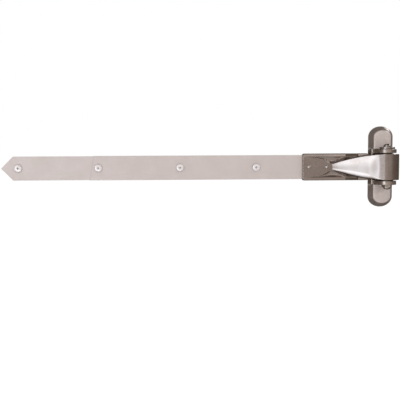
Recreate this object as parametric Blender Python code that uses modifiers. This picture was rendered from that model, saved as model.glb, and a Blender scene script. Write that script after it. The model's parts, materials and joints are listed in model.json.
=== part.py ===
"""Strap hinge for a wide gate, modelled in metres with +Z up.

The post side is an oval bracket with two ears, four screws and two snap-on covers. The gate
side is a sculpted casting riveted to a long flat bar with a spear point. A headed pin with a
washer and a cap nut joins the two sides and runs in two flanged bushings. The origin is the
middle of the bracket's back face. The front faces -Y and the closed bar points along -X.
"""

import math

import bmesh
import bpy
from mathutils import Matrix

# Clearance between pieces that touch or fit into each other
fit_gap = 0.0003

# Hinge pin and what it carries
pin_reach = 0.036
pin_diameter = 0.0095
pin_head_diameter = 0.0127
pin_head_height = 0.0052
pin_head_rim = 0.0010
pin_end_length = 0.0052
pin_washer_diameter = 0.024
pin_washer_thickness = 0.003
nut_across_flats = 0.0143
nut_hex_height = 0.0040
nut_dome_radius = 0.0064
nut_dome_height = 0.0038
nut_crown_wall = 0.0022
nut_turn = math.radians(22)
edge_break = 0.0006

# Bushings pressed into the two ends of the barrel
bushing_wall = 0.0016
bushing_length = 0.012
bushing_flange_diameter = 0.020
bushing_flange_thickness = 0.001

# Post bracket
bracket_width = 0.0413
bracket_height = 0.1334
bracket_end_rise = 0.0173
base_thickness = 0.004
block_depth = 0.008
block_shoulder = 0.0005
block_edge_break = 0.0010
side_draft = math.radians(27.0)
ear_radius = 0.0145
ear_thickness = 0.0062
ear_root_fillet = 0.0019
ear_edge_round = 0.0009

# Snap-on covers over the bracket's screws
cover_depth = 0.013
cover_wall = 0.0018
cover_edge_break = 0.0024

# Bracket screws
bracket_screw_end_inset = 0.0120
bracket_screw_clearance = 0.0020
bracket_screw_shank = 0.0063
bracket_screw_length = 0.038
bracket_screw_head = 0.0125
bracket_screw_head_height = 0.0036
bracket_screw_head_rim = 0.0016

# Strap casting
casting_length = 0.1315
casting_height = 0.0444
casting_thickness = 0.0083
casting_corner = 0.0033
casting_edge_round = 0.0022
ledge_width = 0.0050
barrel_radius = 0.0187
barrel_height = 0.0415
barrel_edge_round = 0.0010
barrel_core_gap = 0.0009
waist_inset = 0.0480
waist_width = 0.0090
crest_sink = 0.00005
ridge_flank_draft = math.radians(16.0)
ridge_edge_break = 0.0011
ridge_dish = 0.0018
dish_start = 0.012
dish_fade = 0.018
ridge_tip_overrun = 0.0045
pocket_wall = 0.0045
side_clearance = 0.003
back_clearance = 0.004
notch_length = 0.0216
notch_depth = 0.0030
notch_land = 0.0004

# Flute beside the ridge: distance in from the casting's end, inner edge above the middle, depth
flute_stations = (
    (0.0055, 0.0166, 0.0002),
    (0.0215, 0.0155, 0.0007),
    (0.0330, 0.0128, 0.0013),
    (0.0405, 0.0090, 0.0019),
    (0.0465, 0.0058, 0.0022),
    (0.0535, 0.0066, 0.0022),
    (0.0615, 0.0090, 0.0018),
    (0.0695, 0.0118, 0.0012),
    (0.0775, 0.0142, 0.0006),
    (0.0835, 0.0160, 0.0002),
)

# Bar
bar_width = 0.0397
bar_tip_width = 0.0388
bar_thickness = 0.0048
bar_length = 0.5461
bar_overrun = 0.016
bar_point_length = 0.0183
bar_point_flat = 0.0016
bar_edge_round = 0.0005
bar_step_upper_inset = 0.1486
bar_step_lower_inset = 0.1416

# Rivets that hold the bar in the casting
rivet_inset = 0.0105
rivet_pitch = 0.0295
rivet_shank = 0.0034
rivet_head = 0.0052
rivet_head_height = 0.0017
rivet_tail = 0.0056

# Bar screws: two placed from the casting's end, two from the bar's point
bar_screw_casting_inset = 0.0765
bar_screw_near_pitch = 0.125
bar_screw_far_pitch = 0.129
bar_screw_point_inset = 0.0266
bar_screw_shank = 0.0063
bar_screw_length = 0.032
bar_screw_head = 0.0122
bar_screw_head_height = 0.0034
bar_screw_head_rim = 0.0015
screw_point_length = 0.006
recess_arm = 0.0058
recess_width = 0.0014
recess_depth = 0.0018
recess_taper = 0.62

# Facets of round forms
coarse_turn = 20
fine_turn = 36
barrel_turn = 60
end_facets = 24
nose_facets = 20
dome_facets = 4
edge_facets = 3
cover_edge_facets = 6
flute_bevel_facets = 14
ridge_stations = 16
pocket_stations = 8
turned_smooth_angle = math.radians(35)
loft_smooth_angle = math.radians(20)

# Places that follow from the sizes above
ear_inner = barrel_height / 2 + bushing_flange_thickness + 2 * fit_gap
ear_outer = ear_inner + ear_thickness
block_half = ear_outer + block_shoulder
plate_end = bracket_width / 2 + side_clearance
rivet_distances = (casting_length - rivet_inset, casting_length - rivet_inset - rivet_pitch)
bar_end = rivet_distances[1] - bar_overrun
bar_tip = bar_end + bar_length
bar_screw_near = casting_length + bar_screw_casting_inset
bar_screw_far = bar_tip - bar_screw_point_inset
bar_screw_distances = (
    bar_screw_near,
    bar_screw_near + bar_screw_near_pitch,
    bar_screw_far - bar_screw_far_pitch,
    bar_screw_far,
)
waist_distance = casting_length - waist_inset
crest_climb = pin_reach - casting_thickness
crest_reach = barrel_radius - crest_sink
crest_slope = math.atan2(crest_climb, waist_distance)
crest_slope += math.asin(crest_reach / math.hypot(waist_distance, crest_climb))
notch_middle = (plate_end + bar_end) / 2
bushing_outer = pin_diameter + 2 * fit_gap + 2 * bushing_wall
bushing_bore = bushing_outer + 2 * fit_gap
ledge_inner = casting_height / 2 - ledge_width
draft_run = math.tan(side_draft)
base_inset = (cover_wall + fit_gap) / math.cos(side_draft)
cut_past = 0.002


def clear_scene():
    for obj in list(bpy.data.objects):
        bpy.data.objects.remove(obj, do_unlink=True)


def new_collection(name):
    collection = bpy.data.collections.new(name)
    bpy.context.scene.collection.children.link(collection)
    return collection


def new_material(name, colour, metallic, roughness):
    material = bpy.data.materials.new(name)
    material.use_nodes = True
    shader = material.node_tree.nodes["Principled BSDF"]
    shader.inputs["Base Color"].default_value = (*colour, 1.0)
    shader.inputs["Metallic"].default_value = metallic
    shader.inputs["Roughness"].default_value = roughness
    material.diffuse_color = (*colour, 1.0)
    return material


clear_scene()
parts = new_collection("gate_hinge")
cutters = new_collection("cutters")
cast_nickel = new_material("cast_nickel", (0.42, 0.37, 0.35), 1.0, 0.28)
cover_nickel = new_material("cover_nickel", (0.55, 0.49, 0.47), 1.0, 0.30)
bar_steel = new_material("bar_steel", (0.60, 0.54, 0.52), 0.8, 0.50)
screw_zinc = new_material("screw_zinc", (0.78, 0.74, 0.73), 1.0, 0.28)
pin_steel = new_material("pin_steel", (0.62, 0.58, 0.56), 1.0, 0.25)
bushing_bronze = new_material("bushing_bronze", (0.50, 0.34, 0.18), 1.0, 0.40)

# Everything on the gate side hangs from this empty on the pin's axis
swing_axis = bpy.data.objects.new("swing_axis", None)
swing_axis.location = (0.0, -pin_reach, 0.0)
parts.objects.link(swing_axis)


def place(name, mesh, collection, parent=None, location=(0, 0, 0), rotation=(0, 0, 0)):
    obj = bpy.data.objects.new(name, mesh)
    collection.objects.link(obj)
    obj.parent = parent
    obj.location = location
    obj.rotation_euler = rotation
    return obj


def add_part(name, mesh, material, parent=None, location=(0, 0, 0), rotation=(0, 0, 0)):
    mesh.materials.clear()
    mesh.materials.append(material)
    return place(name, mesh, parts, parent, location, rotation)


def add_tool(name, mesh, parent=None, location=(0, 0, 0), rotation=(0, 0, 0)):
    """A shape that only cuts or joins: it is never rendered."""
    obj = place(name, mesh, cutters, parent, location, rotation)
    obj.hide_render = True
    obj.display_type = "WIRE"
    return obj


def combine(obj, tool, operation):
    modifier = obj.modifiers.new(tool.name, "BOOLEAN")
    modifier.operation = operation
    modifier.object = tool
    modifier.solver = "EXACT"


def cut(obj, tool):
    combine(obj, tool, "DIFFERENCE")


def join(obj, tool):
    combine(obj, tool, "UNION")


def finish_mesh(bm, name, smooth_angle=turned_smooth_angle):
    bmesh.ops.recalc_face_normals(bm, faces=bm.faces)
    mesh = bpy.data.meshes.new(name)
    bm.to_mesh(mesh)
    bm.free()
    mesh.shade_smooth()
    mesh.set_sharp_from_angle(angle=smooth_angle)
    return mesh


def evaluated_bmesh(obj, weld=1e-6):
    """The object's shape with its modifiers or its curve fill, welded, as a bmesh."""
    graph = bpy.context.evaluated_depsgraph_get()
    mesh = bpy.data.meshes.new_from_object(obj.evaluated_get(graph))
    bm = bmesh.new()
    bm.from_mesh(mesh)
    bmesh.ops.remove_doubles(bm, verts=bm.verts, dist=weld)
    data = obj.data
    bpy.data.objects.remove(obj, do_unlink=True)
    bpy.data.meshes.remove(mesh)
    if isinstance(data, bpy.types.Mesh):
        bpy.data.meshes.remove(data)
    else:
        bpy.data.curves.remove(data)
    return bm


def turned(name, profile, steps, ring=False):
    """A profile of (radius, height) points from top to bottom, turned round the Z axis."""
    bm = bmesh.new()
    points = [bm.verts.new((radius, 0, height)) for radius, height in profile]
    for above, below in zip(points, points[1:]):
        bm.edges.new((above, below))
    if ring:
        bm.edges.new((points[-1], points[0]))
    mesh = bpy.data.meshes.new(name)
    bm.to_mesh(mesh)
    bm.free()
    blank = place(name + "_profile", mesh, parts)
    screw = blank.modifiers.new("Screw", "SCREW")
    screw.axis = "Z"
    screw.steps = steps
    screw.render_steps = steps
    screw.use_merge_vertices = True
    screw.merge_threshold = 1e-6
    bpy.context.view_layer.update()
    return finish_mesh(evaluated_bmesh(blank), name)


def arc(centre, radius, start, end, count):
    """Points of a round stretch from one angle to another, ends included."""
    return [
        (
            centre[0] + radius * math.cos(start + (end - start) * i / count),
            centre[1] + radius * math.sin(start + (end - start) * i / count),
        )
        for i in range(count + 1)
    ]


def extruded(name, outline, depth):
    """A flat outline in XY, filled and extruded half its depth to each side, as a bmesh."""
    curve = bpy.data.curves.new(name, "CURVE")
    curve.dimensions = "2D"
    curve.fill_mode = "BOTH"
    curve.extrude = depth / 2
    spline = curve.splines.new("POLY")
    spline.points.add(len(outline) - 1)
    for point, (x, y) in zip(spline.points, outline):
        point.co = (x, y, 0, 1)
    spline.use_cyclic_u = True
    blank = place(name + "_outline", curve, parts)
    bpy.context.view_layer.update()
    bm = evaluated_bmesh(blank)
    for level in (-depth / 2, depth / 2):
        cap = [face for face in bm.faces if all(abs(vert.co.z - level) < 1e-6 for vert in face.verts)]
        bmesh.ops.dissolve_faces(bm, faces=cap)
    return bm


def standing(name, outline, depth):
    """A flat outline stood up in XZ, its back face at Y = 0 and its front at Y = -depth."""
    bm = extruded(name, outline, depth)
    stand_up = Matrix.Translation((0, -depth / 2, 0)) @ Matrix.Rotation(math.pi / 2, 4, "X")
    bmesh.ops.transform(bm, matrix=stand_up, verts=bm.verts)
    return bm


def ring_solid(sections):
    """A closed solid through sections that have the same number of points, as a bmesh."""
    bm = bmesh.new()
    rings = [[bm.verts.new(point) for point in section] for section in sections]
    count = len(rings[0])
    for near, far in zip(rings, rings[1:]):
        for i in range(count):
            bm.faces.new((near[i - 1], near[i], far[i], far[i - 1]))
    bm.faces.new(rings[0])
    bm.faces.new(rings[-1])
    bmesh.ops.recalc_face_normals(bm, faces=bm.faces)
    return bm


def drafted(outline_at, depth, behind=0.0):
    """A solid stood up in XZ whose outline draws in from its back at Y = behind to Y = -depth."""
    sections = []
    for y in (behind, -depth):
        sections.append([(x, y, z) for x, z in outline_at(-y * draft_run)])
    return ring_solid(sections)


def round_edges(bm, edges, radius, segments):
    bmesh.ops.bevel(
        bm,
        geom=edges,
        offset=radius,
        segments=segments,
        profile=0.5,
        affect="EDGES",
        clamp_overlap=True,
        material=-1,
    )


def rim_edges(bm, axis, level, wanted=None):
    """Edges that lie at one level of an axis and border a face that leaves that level."""
    found = []
    for edge in bm.edges:
        if any(abs(vert.co[axis] - level) > 1e-6 for vert in edge.verts):
            continue
        leaves = [
            face
            for face in edge.link_faces
            if any(abs(vert.co[axis] - level) > 1e-6 for vert in face.verts)
        ]
        middle = (edge.verts[0].co + edge.verts[1].co) / 2
        if len(leaves) == 1 and (wanted is None or wanted(middle)):
            found.append(edge)
    return found


def box(name, low, high):
    bm = bmesh.new()
    bmesh.ops.create_cube(bm, size=1.0)
    size = [b - a for a, b in zip(low, high)]
    middle = [(a + b) / 2 for a, b in zip(low, high)]
    bmesh.ops.scale(bm, vec=size, verts=bm.verts)
    bmesh.ops.translate(bm, vec=middle, verts=bm.verts)
    return finish_mesh(bm, name)


def rod(name, diameter, bottom, top, steps=coarse_turn):
    bm = bmesh.new()
    bmesh.ops.create_cone(
        bm,
        cap_ends=True,
        segments=steps,
        radius1=diameter / 2,
        radius2=diameter / 2,
        depth=top - bottom,
    )
    bmesh.ops.translate(bm, vec=(0, 0, (top + bottom) / 2), verts=bm.verts)
    return finish_mesh(bm, name)


def dome(radius, base, height, count):
    """Points of a low domed top from the axis to the rim, as a part of an ellipse."""
    return [
        (
            radius * math.sin(math.pi / 2 * i / count),
            base + height * math.cos(math.pi / 2 * i / count),
        )
        for i in range(count + 1)
    ]


# Post bracket: an oval base with a thicker block in its middle, from which two ears stand out
def oval_end(inset, count):
    """The rounded upper end of the oval, from its right side over the top, set in evenly."""
    half = bracket_width / 2
    spring = bracket_height / 2 - bracket_end_rise
    points = []
    for i in range(count + 1):
        across, up = math.cos(math.pi * i / count), math.sin(math.pi * i / count)
        slope = math.hypot(bracket_end_rise * across, half * up)
        x = half * across - inset * bracket_end_rise * across / slope
        points.append((x, spring + bracket_end_rise * up - inset * half * up / slope))
    return points


def ear_outline():
    """One ear seen from above: a round nose on the pin's axis, flared where it meets the block."""
    root = -block_depth
    inside = root + block_depth / 2
    fillet = arc(
        (ear_radius + ear_root_fillet, root - ear_root_fillet),
        ear_root_fillet,
        math.pi / 2,
        math.pi,
        edge_facets,
    )
    right = [(ear_radius + ear_root_fillet, inside)] + fillet
    nose = arc((0, -pin_reach), ear_radius, 0, -math.pi, nose_facets)
    left = [(-x, y) for x, y in reversed(right)]
    return right + nose + left


def bracket_hole_heights():
    """As many screws at each end as fit side by side under a cover, evenly spread."""
    first = block_half + cover_wall + bracket_screw_head / 2 + bracket_screw_clearance
    last = bracket_height / 2 - bracket_screw_end_inset
    gaps = int((last - first) // (bracket_screw_head + bracket_screw_clearance))
    if gaps > 0:
        heights = distances(first, last, gaps)
    else:
        heights = [(first + last) / 2]
    return [*heights, *(-height for height in heights)]


def base_outline(inset):
    end = oval_end(base_inset + inset, end_facets)
    return end + [(-x, -z) for x, z in end]


def rectangle(half_width, low, high):
    return [(half_width, low), (half_width, high), (-half_width, high), (-half_width, low)]


def make_bracket():
    base = drafted(base_outline, base_thickness)
    bracket = add_part("post_bracket", finish_mesh(base, "post_bracket"), cast_nickel)

    half = bracket_width / 2
    block = drafted(lambda inset: rectangle(half - inset, -block_half, block_half), block_depth)
    long_edges = rim_edges(block, 1, -block_depth, lambda middle: abs(middle.z) < block_half / 2)
    round_edges(block, long_edges, block_edge_break, edge_facets)
    join(bracket, add_tool("bracket_block", finish_mesh(block, "bracket_block")))

    for side, name in ((1, "upper_ear"), (-1, "lower_ear")):
        ear = extruded(name, ear_outline(), ear_thickness)
        outer = rim_edges(
            ear, 2, side * ear_thickness / 2, lambda middle: middle.y < -block_depth - ear_root_fillet
        )
        round_edges(ear, outer, ear_edge_round, edge_facets - 1)
        height = side * (ear_inner + ear_thickness / 2)
        join(bracket, add_tool(name, finish_mesh(ear, name), location=(0, 0, height)))

    pin_hole = rod("pin_hole", pin_diameter + 2 * fit_gap, -ear_outer - cut_past, ear_outer + cut_past, fine_turn)
    cut(bracket, add_tool("pin_hole", pin_hole, location=(0, -pin_reach, 0)))
    for i, height in enumerate(bracket_hole_heights()):
        name = f"bracket_screw_hole_{i + 1}"
        hole = rod(name, bracket_screw_shank + 2 * fit_gap, -cut_past, base_thickness + cut_past)
        cut(bracket, add_tool(name, hole, location=(0, 0, height), rotation=(math.pi / 2, 0, 0)))


# Covers: one shell for each end, its sides drafted, closed towards the ears and open at the back
def make_cover(name, side):
    start = block_half + fit_gap
    depth = cover_depth - fit_gap

    def outline(inset):
        half = bracket_width / 2 - inset
        return [(half, start)] + oval_end(inset, end_facets) + [(-half, start)]

    shell = drafted(outline, depth)
    rounded = rim_edges(shell, 1, -depth, lambda middle: middle.z > start + 1e-6)
    round_edges(shell, rounded, cover_edge_break, cover_edge_facets)
    back = [face for face in shell.faces if all(abs(vert.co.y) < 1e-6 for vert in face.verts)]
    bmesh.ops.delete(shell, geom=back, context="FACES")
    cover = add_part(name, finish_mesh(shell, name), cover_nickel, location=(0, -fit_gap, 0))
    if side < 0:
        cover.rotation_euler = (0, math.pi, 0)
    wall = cover.modifiers.new("Wall", "SOLIDIFY")
    wall.thickness = cover_wall
    wall.offset = -1
    wall.use_even_offset = True
    slot_half = bracket_width / 2 - base_inset + fit_gap
    slot = drafted(
        lambda inset: rectangle(slot_half - inset, start - cut_past, start + cover_wall + fit_gap),
        base_thickness,
        cut_past,
    )
    slot_mesh = finish_mesh(slot, name + "_slot")
    cut(cover, add_tool(name + "_slot", slot_mesh, location=cover.location, rotation=cover.rotation_euler))


# Screws: a low domed head with a cross recess, a plain shank and a cone point
def screw_profile(shank, length, head, head_height, rim):
    top = dome(head / 2, rim, head_height - rim, dome_facets)
    return top + [
        (head / 2, 0.0),
        (shank / 2, 0.0),
        (shank / 2, screw_point_length - length),
        (0.0, -length),
    ]


def recess_mesh(name, top):
    """A cross-shaped cutter that narrows downwards."""
    half, wide = recess_arm / 2, recess_width / 2
    cross = [(half, -wide), (half, wide), (wide, wide), (wide, half), (-wide, half), (-wide, wide)]
    cross += [(-x, -y) for x, y in cross]
    depth = recess_depth + cut_past
    bm = extruded(name, cross, depth)
    bmesh.ops.translate(bm, vec=(0, 0, top - recess_depth + depth / 2), verts=bm.verts)
    for vert in bm.verts:
        if vert.co.z < top:
            vert.co.x *= recess_taper
            vert.co.y *= recess_taper
    return finish_mesh(bm, name)


def add_screw(name, mesh, recess, parent, location):
    turn = (math.pi / 2, 0, 0)
    screw = add_part(name, mesh, screw_zinc, parent, location, turn)
    cut(screw, add_tool(name + "_recess", recess, parent, location, turn))


def make_bracket_screws():
    profile = screw_profile(
        bracket_screw_shank,
        bracket_screw_length,
        bracket_screw_head,
        bracket_screw_head_height,
        bracket_screw_head_rim,
    )
    mesh = turned("bracket_screw", profile, coarse_turn)
    recess = recess_mesh("bracket_screw_recess", bracket_screw_head_height)
    for i, height in enumerate(bracket_hole_heights()):
        seat = (0, -base_thickness - fit_gap, height)
        add_screw(f"bracket_screw_{i + 1}", mesh, recess, None, seat)


def make_bar_screws():
    profile = screw_profile(
        bar_screw_shank,
        bar_screw_length,
        bar_screw_head,
        bar_screw_head_height,
        bar_screw_head_rim,
    )
    mesh = turned("bar_screw", profile, coarse_turn)
    recess = recess_mesh("bar_screw_recess", bar_screw_head_height)
    for i, distance in enumerate(bar_screw_distances):
        seat = (-distance, pin_reach - bar_thickness - fit_gap, 0)
        add_screw(f"strap_screw_{i + 1}", mesh, recess, swing_axis, seat)


# Pin: round head on a washer above the upper ear, a cap nut under the lower ear
def make_pin():
    washer_bottom = ear_outer + fit_gap
    head_bottom = washer_bottom + pin_washer_thickness + fit_gap
    radius = pin_diameter / 2
    end = -ear_outer - fit_gap - pin_end_length
    crown = pin_head_height - pin_head_rim
    head = dome(pin_head_diameter / 2, head_bottom + pin_head_rim, crown, dome_facets)
    profile = head + [
        (pin_head_diameter / 2, head_bottom),
        (radius, head_bottom),
        (radius, end + edge_break),
        (radius - edge_break, end),
        (0.0, end),
    ]
    axis = (0, -pin_reach, 0)
    add_part("hinge_pin", turned("hinge_pin", profile, fine_turn), pin_steel, location=axis)

    inner, outer = radius + fit_gap, pin_washer_diameter / 2
    top = washer_bottom + pin_washer_thickness
    ring = [
        (inner, top),
        (outer - edge_break, top),
        (outer, top - edge_break),
        (outer, washer_bottom + edge_break),
        (outer - edge_break, washer_bottom),
        (inner, washer_bottom),
    ]
    add_part("pin_washer", turned("pin_washer", ring, fine_turn, ring=True), pin_steel, location=axis)


def make_nut():
    top = -ear_outer - fit_gap
    across_corners = nut_across_flats / math.cos(math.pi / 6)
    hexagon = rod("pin_nut", across_corners, top - nut_hex_height, top, 6)
    nut = add_part("pin_nut", hexagon, pin_steel, location=(0, -pin_reach, 0))
    nut.rotation_euler = (0, 0, nut_turn)
    crown_base = top - nut_hex_height
    crown = dome(nut_dome_radius, 0.0, nut_dome_height, dome_facets)
    profile = [(0.0, top - nut_hex_height / 2), (nut_dome_radius, top - nut_hex_height / 2)]
    profile += [(radius, crown_base - height) for radius, height in reversed(crown)]
    join(nut, add_tool("nut_crown", turned("nut_crown", profile, coarse_turn), location=nut.location))
    bottom = top - nut_hex_height - nut_dome_height + nut_crown_wall
    bore = rod("nut_bore", pin_diameter + 2 * fit_gap, bottom, top + cut_past)
    cut(nut, add_tool("nut_bore", bore, location=nut.location))


# Bushings: a sleeve in the barrel's end and a flange between the barrel and the ear
def make_bushings():
    inner = pin_diameter / 2 + fit_gap
    outer = bushing_outer / 2
    flange = bushing_flange_diameter / 2
    seat = barrel_height / 2 + fit_gap
    top = seat + bushing_flange_thickness
    bottom = seat - bushing_length
    profile = [(inner, top), (flange, top), (flange, seat), (outer, seat), (outer, bottom), (inner, bottom)]
    mesh = turned("bushing", profile, coarse_turn, ring=True)
    add_part("upper_bushing", mesh, bushing_bronze, swing_axis)
    add_part("lower_bushing", mesh, bushing_bronze, swing_axis, rotation=(math.pi, 0, 0))


# Strap casting: places along it are distances from the pin's axis towards the bar's point
def ridge_half_width(distance):
    """The ridge flares as a parabola from its waist to the barrel's full height."""
    root = barrel_height / 2
    return root - (root - waist_width / 2) * (distance / waist_distance) ** 2


def ridge_rise(distance):
    """How far the crest stands before the back plane: it climbs evenly and touches the barrel."""
    return casting_thickness + (waist_distance - distance) * math.tan(crest_slope)


def dish_depth(distance):
    """The crest is flat beside the barrel, hollows out gently and narrows to the waist."""
    fade = min(1.0, max(0.0, (distance - dish_start) / dish_fade))
    share = ridge_half_width(distance) / ridge_half_width(0.0)
    return ridge_dish * share * fade**2 * (3 - 2 * fade)


def ridge_section(distance):
    """A section across the ridge: drafted flanks, broken edges and a shallow dished crest."""
    half = ridge_half_width(distance)
    crest = ridge_rise(distance)
    base = bar_thickness + fit_gap / 2
    foot = half + max(0.0, crest - base) * math.tan(ridge_flank_draft)
    foot = max(half, min(foot, ledge_inner))
    dish = dish_depth(distance)
    broken = min(ridge_edge_break, half / 3, (crest - base) / 3)
    upper = [(foot, base), (half, crest - broken), (half - broken, crest)]
    upper += [(half * share, crest - dish * (1 - share**2)) for share in (0.7, 0.35)]
    points = upper + [(0.0, crest - dish)] + [(-z, y) for z, y in reversed(upper)]
    return [(-distance, pin_reach - y, z) for z, y in points]


def pocket_section(distance):
    """A section across the hollow behind the ridge, a wall's thickness inside it."""
    half = ridge_half_width(distance) - pocket_wall
    crest = ridge_rise(distance) - pocket_wall
    return [
        (-distance, pin_reach - y, z)
        for z, y in ((half, -cut_past), (half, crest), (-half, crest), (-half, -cut_past))
    ]


def loft(name, sections):
    bm = ring_solid(sections)
    bmesh.ops.triangulate(bm, faces=bm.faces)
    return finish_mesh(bm, name, loft_smooth_angle)


def distances(near, far, count):
    return [near + (far - near) * i / count for i in range(count + 1)]


def flute_mesh(name, side):
    """A tapering tube laid along the flute, whose lower side scoops the plate."""
    curve = bpy.data.curves.new(name, "CURVE")
    curve.dimensions = "3D"
    curve.bevel_depth = 1.0
    curve.bevel_resolution = flute_bevel_facets
    curve.use_fill_caps = True
    spline = curve.splines.new("POLY")
    spline.points.add(len(flute_stations) - 1)
    for point, (inset, inner_edge, depth) in zip(spline.points, flute_stations):
        half = (ledge_inner - inner_edge) / 2
        radius = (half**2 + depth**2) / (2 * depth)
        middle = side * (ledge_inner + inner_edge) / 2
        front = pin_reach - casting_thickness
        point.co = (inset - casting_length, front - radius + depth, middle, 1)
        point.radius = radius
    blank = place(name + "_path", curve, parts)
    bpy.context.view_layer.update()
    return finish_mesh(evaluated_bmesh(blank), name)


def casting_outline():
    half = casting_height / 2
    corner = arc(
        (-casting_length + casting_corner, half - casting_corner),
        casting_corner,
        math.pi / 2,
        math.pi,
        2 * edge_facets,
    )
    upper = [(-plate_end, half)] + corner
    return upper + [(x, -z) for x, z in reversed(upper)]


def barrel_profile():
    half, edge = barrel_height / 2, barrel_edge_round
    quarter = arc((barrel_radius - edge, half - edge), edge, math.pi / 2, 0, edge_facets)
    return [(0.0, half)] + quarter + [(x, -z) for x, z in reversed(quarter)] + [(0.0, -half)]


def rivet_profile(gap):
    """A rivet from its domed head to its flush tail, or with a gap the hole that it fills."""
    front = casting_thickness + fit_gap
    tail_depth = (rivet_tail - rivet_shank) / 2
    shank, tail = rivet_shank / 2 + gap, rivet_tail / 2 + gap
    if gap:
        stem = [(0.0, front + cut_past), (shank, front + cut_past)]
        end = [(tail, 0.0), (tail, -cut_past), (0.0, -cut_past)]
    else:
        stem = dome(rivet_head / 2, front, rivet_head_height, dome_facets) + [(shank, front)]
        end = [(tail, fit_gap), (0.0, fit_gap)]
    return stem + [(shank, tail_depth + fit_gap)] + end


def make_casting():
    plate = standing("strap_casting", casting_outline(), casting_thickness)
    bmesh.ops.translate(plate, vec=(0, pin_reach, 0), verts=plate.verts)
    front = pin_reach - casting_thickness
    outer = rim_edges(plate, 1, front, lambda middle: middle.x < -plate_end - 1e-6)
    round_edges(plate, outer, casting_edge_round, edge_facets + 1)
    mesh = finish_mesh(plate, "strap_casting")
    casting = add_part("strap_casting", mesh, cast_nickel, swing_axis)

    for side, name in ((1, "upper_flute"), (-1, "lower_flute")):
        cut(casting, add_tool(name, flute_mesh(name, side), swing_axis))
    root = crest_reach * math.sin(crest_slope)
    tip = waist_distance + ridge_tip_overrun
    ridge = loft("ridge", map(ridge_section, distances(root, tip, ridge_stations)))
    join(casting, add_tool("ridge", ridge, swing_axis))
    join(casting, add_tool("barrel", turned("barrel", barrel_profile(), barrel_turn), swing_axis))

    arm_back = pin_reach - block_depth - back_clearance
    relief = box(
        "arm_relief",
        (-plate_end, arm_back, -casting_height),
        (barrel_radius + cut_past, pin_reach + cut_past, casting_height),
    )
    cut(casting, add_tool("arm_relief", relief, swing_axis))
    pocket_near = plate_end + pocket_wall
    pocket_far = bar_end - fit_gap - pocket_wall
    pocket = loft("pocket", map(pocket_section, distances(pocket_near, pocket_far, pocket_stations)))
    cut(casting, add_tool("pocket", pocket, swing_axis))
    half_channel = bar_width / 2 + fit_gap
    channel = box(
        "bar_channel",
        (-casting_length - cut_past, pin_reach - bar_thickness - fit_gap, -half_channel),
        (-bar_end + fit_gap, pin_reach + cut_past, half_channel),
    )
    cut(casting, add_tool("bar_channel", channel, swing_axis))

    for side, name in ((1, "upper_notch"), (-1, "lower_notch")):
        inner = ledge_inner + notch_land
        heights = sorted((side * inner, side * (casting_height / 2 + cut_past)))
        notch = box(
            name,
            (-notch_middle - notch_length / 2, front - casting_thickness, heights[0]),
            (-notch_middle + notch_length / 2, front + notch_depth, heights[1]),
        )
        cut(casting, add_tool(name, notch, swing_axis))

    past = barrel_height / 2 + cut_past
    core = rod("barrel_core", pin_diameter + 2 * (fit_gap + barrel_core_gap), -past, past)
    cut(casting, add_tool("barrel_core", core, swing_axis))
    depth = bushing_length + fit_gap
    for side, name in ((1, "upper_counterbore"), (-1, "lower_counterbore")):
        ends = sorted((side * past, side * (barrel_height / 2 - depth)))
        cut(casting, add_tool(name, rod(name, bushing_bore, *ends), swing_axis))
    return casting


# Bar: one flat strip with a spear point, held in the casting's channel by two rivets
def bar_outline():
    half, narrow, flat = bar_width / 2, bar_tip_width / 2, bar_point_flat / 2
    shoulder = bar_tip - bar_point_length
    upper_step = bar_tip - bar_step_upper_inset
    lower_step = bar_tip - bar_step_lower_inset
    run = half - narrow
    return [
        (-bar_end, half),
        (-upper_step, half),
        (-upper_step - run, narrow),
        (-shoulder, narrow),
        (-bar_tip, flat),
        (-bar_tip, -flat),
        (-shoulder, -narrow),
        (-lower_step - run, -narrow),
        (-lower_step, -half),
        (-bar_end, -half),
    ]


def make_bar():
    bar = standing("strap_bar", bar_outline(), bar_thickness)
    front = pin_reach - bar_thickness
    bmesh.ops.translate(bar, vec=(0, pin_reach, 0), verts=bar.verts)
    for level in (front, pin_reach):
        round_edges(bar, rim_edges(bar, 1, level), bar_edge_round, edge_facets - 1)
    piece = add_part("strap_bar", finish_mesh(bar, "strap_bar"), bar_steel, swing_axis)
    hole = rod("bar_screw_hole", bar_screw_shank + 2 * fit_gap, -cut_past, bar_thickness + cut_past)
    for i, distance in enumerate(bar_screw_distances):
        seat = (-distance, pin_reach, 0)
        tool = add_tool(f"bar_screw_hole_{i + 1}", hole, swing_axis, seat, (math.pi / 2, 0, 0))
        cut(piece, tool)
    return piece


def make_rivets(casting, bar):
    rivet = turned("casting_rivet", rivet_profile(0.0), coarse_turn)
    hole = turned("rivet_hole", rivet_profile(fit_gap), coarse_turn)
    for i, distance in enumerate(rivet_distances):
        seat, turn = (-distance, pin_reach, 0), (math.pi / 2, 0, 0)
        add_part(f"casting_rivet_{i + 1}", rivet, pin_steel, swing_axis, seat, turn)
        tool = add_tool(f"rivet_hole_{i + 1}", hole, swing_axis, seat, turn)
        cut(casting, tool)
        cut(bar, tool)


make_bracket()
make_cover("upper_cover", 1)
make_cover("lower_cover", -1)
make_bracket_screws()
make_pin()
make_nut()
make_bushings()
make_rivets(make_casting(), make_bar())
make_bar_screws()

# Flat faces beside rounded edges keep a flat shade
for piece in parts.objects:
    if piece.type == "MESH":
        shading = piece.modifiers.new("Shading", "WEIGHTED_NORMAL")
        shading.keep_sharp = True
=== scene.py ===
import json
import math

import bmesh
import bpy
from mathutils import Matrix, Vector


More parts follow.
